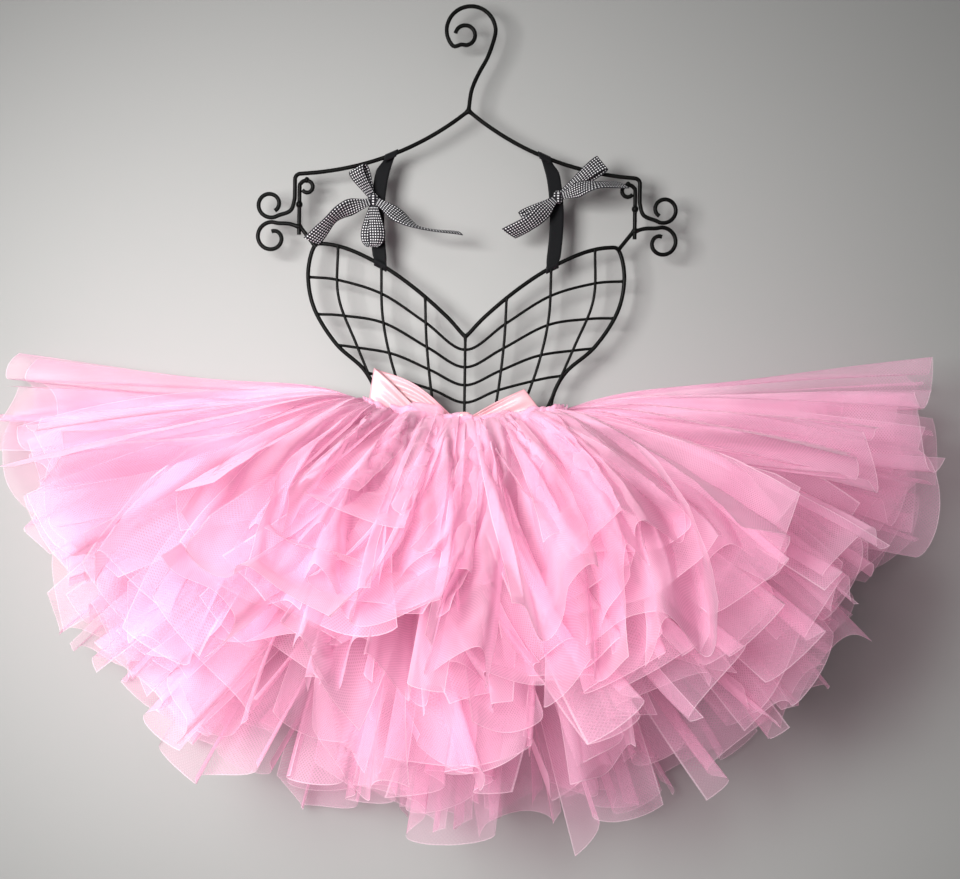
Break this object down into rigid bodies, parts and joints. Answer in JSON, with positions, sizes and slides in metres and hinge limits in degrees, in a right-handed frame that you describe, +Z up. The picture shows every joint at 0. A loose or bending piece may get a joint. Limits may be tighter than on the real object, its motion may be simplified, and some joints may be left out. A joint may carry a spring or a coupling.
{
  "type": "ballet tutu on a wire hanger",
  "caption": "Full skirt of knotted pink tulle strips on an elastic waistband, fanned out on a black wire bust hanger with scroll ends, ribbon bows and a hook.",
  "frame": {"origin": "inside crown of the hanger's hook, on the centre plane of its wire, where a peg carries the hanger", "axes": "+Z up, +X to the right of someone who faces the hanger, -Y towards that viewer; a wall stands at +Y"},
  "size_m": [0.8146, 0.2843, 0.715],
  "materials": {
    "black_enamel": "semi-gloss",
    "black_webbing": "matt",
    "gingham_ribbon": "woven check",
    "pink_satin": "glossy satin",
    "pink_elastic": "matt",
    "pink_tulle": "sheer net"
  },
  "bodies": {
    "root": {"bow_knot_left": "gingham_ribbon", "bow_knot_right": "gingham_ribbon", "bow_loop_down_left": "gingham_ribbon", "bow_loop_down_right": "gingham_ribbon", "bow_loop_up_left": "gingham_ribbon", "bow_loop_up_right": "gingham_ribbon", "bow_tail_in_left": "gingham_ribbon", "bow_tail_in_right": "gingham_ribbon", "bow_tail_out_left": "gingham_ribbon", "bow_tail_out_right": "gingham_ribbon", "brace_left": "black_enamel", "brace_right": "black_enamel", "bust_rod_left": "black_enamel", "bust_rod_right": "black_enamel", "cross_wire_1": "black_enamel", "cross_wire_2": "black_enamel", "cross_wire_3": "black_enamel", "cross_wire_4": "black_enamel", "end_rod_left": "black_enamel", "end_rod_right": "black_enamel", "hook": "black_enamel", "knots_back": "pink_tulle", "knots_front": "pink_tulle", "satin_knot": "pink_satin", "satin_loop_left": "pink_satin", "satin_loop_right": "pink_satin", "scroll_left": "black_enamel", "scroll_right": "black_enamel", "shoulder_left": "black_enamel", "shoulder_right": "black_enamel", "strap_left": "black_webbing", "strap_right": "black_webbing", "tulle_tier_01": "pink_tulle", "tulle_tier_02": "pink_tulle", "tulle_tier_03": "pink_tulle", "tulle_tier_04": "pink_tulle", "tulle_tier_05": "pink_tulle", "tulle_tier_06": "pink_tulle", "tulle_tier_07": "pink_tulle", "tulle_tier_08": "pink_tulle", "tulle_tier_09": "pink_tulle", "tulle_tier_10": "pink_tulle", "upright_centre": "black_enamel", "upright_inner_left": "black_enamel", "upright_inner_right": "black_enamel", "upright_middle_left": "black_enamel", "upright_middle_right": "black_enamel", "upright_outer_left": "black_enamel", "upright_outer_right": "black_enamel", "waist_wire": "black_enamel", "waistband": "pink_elastic"}
  },
  "joints": []
}
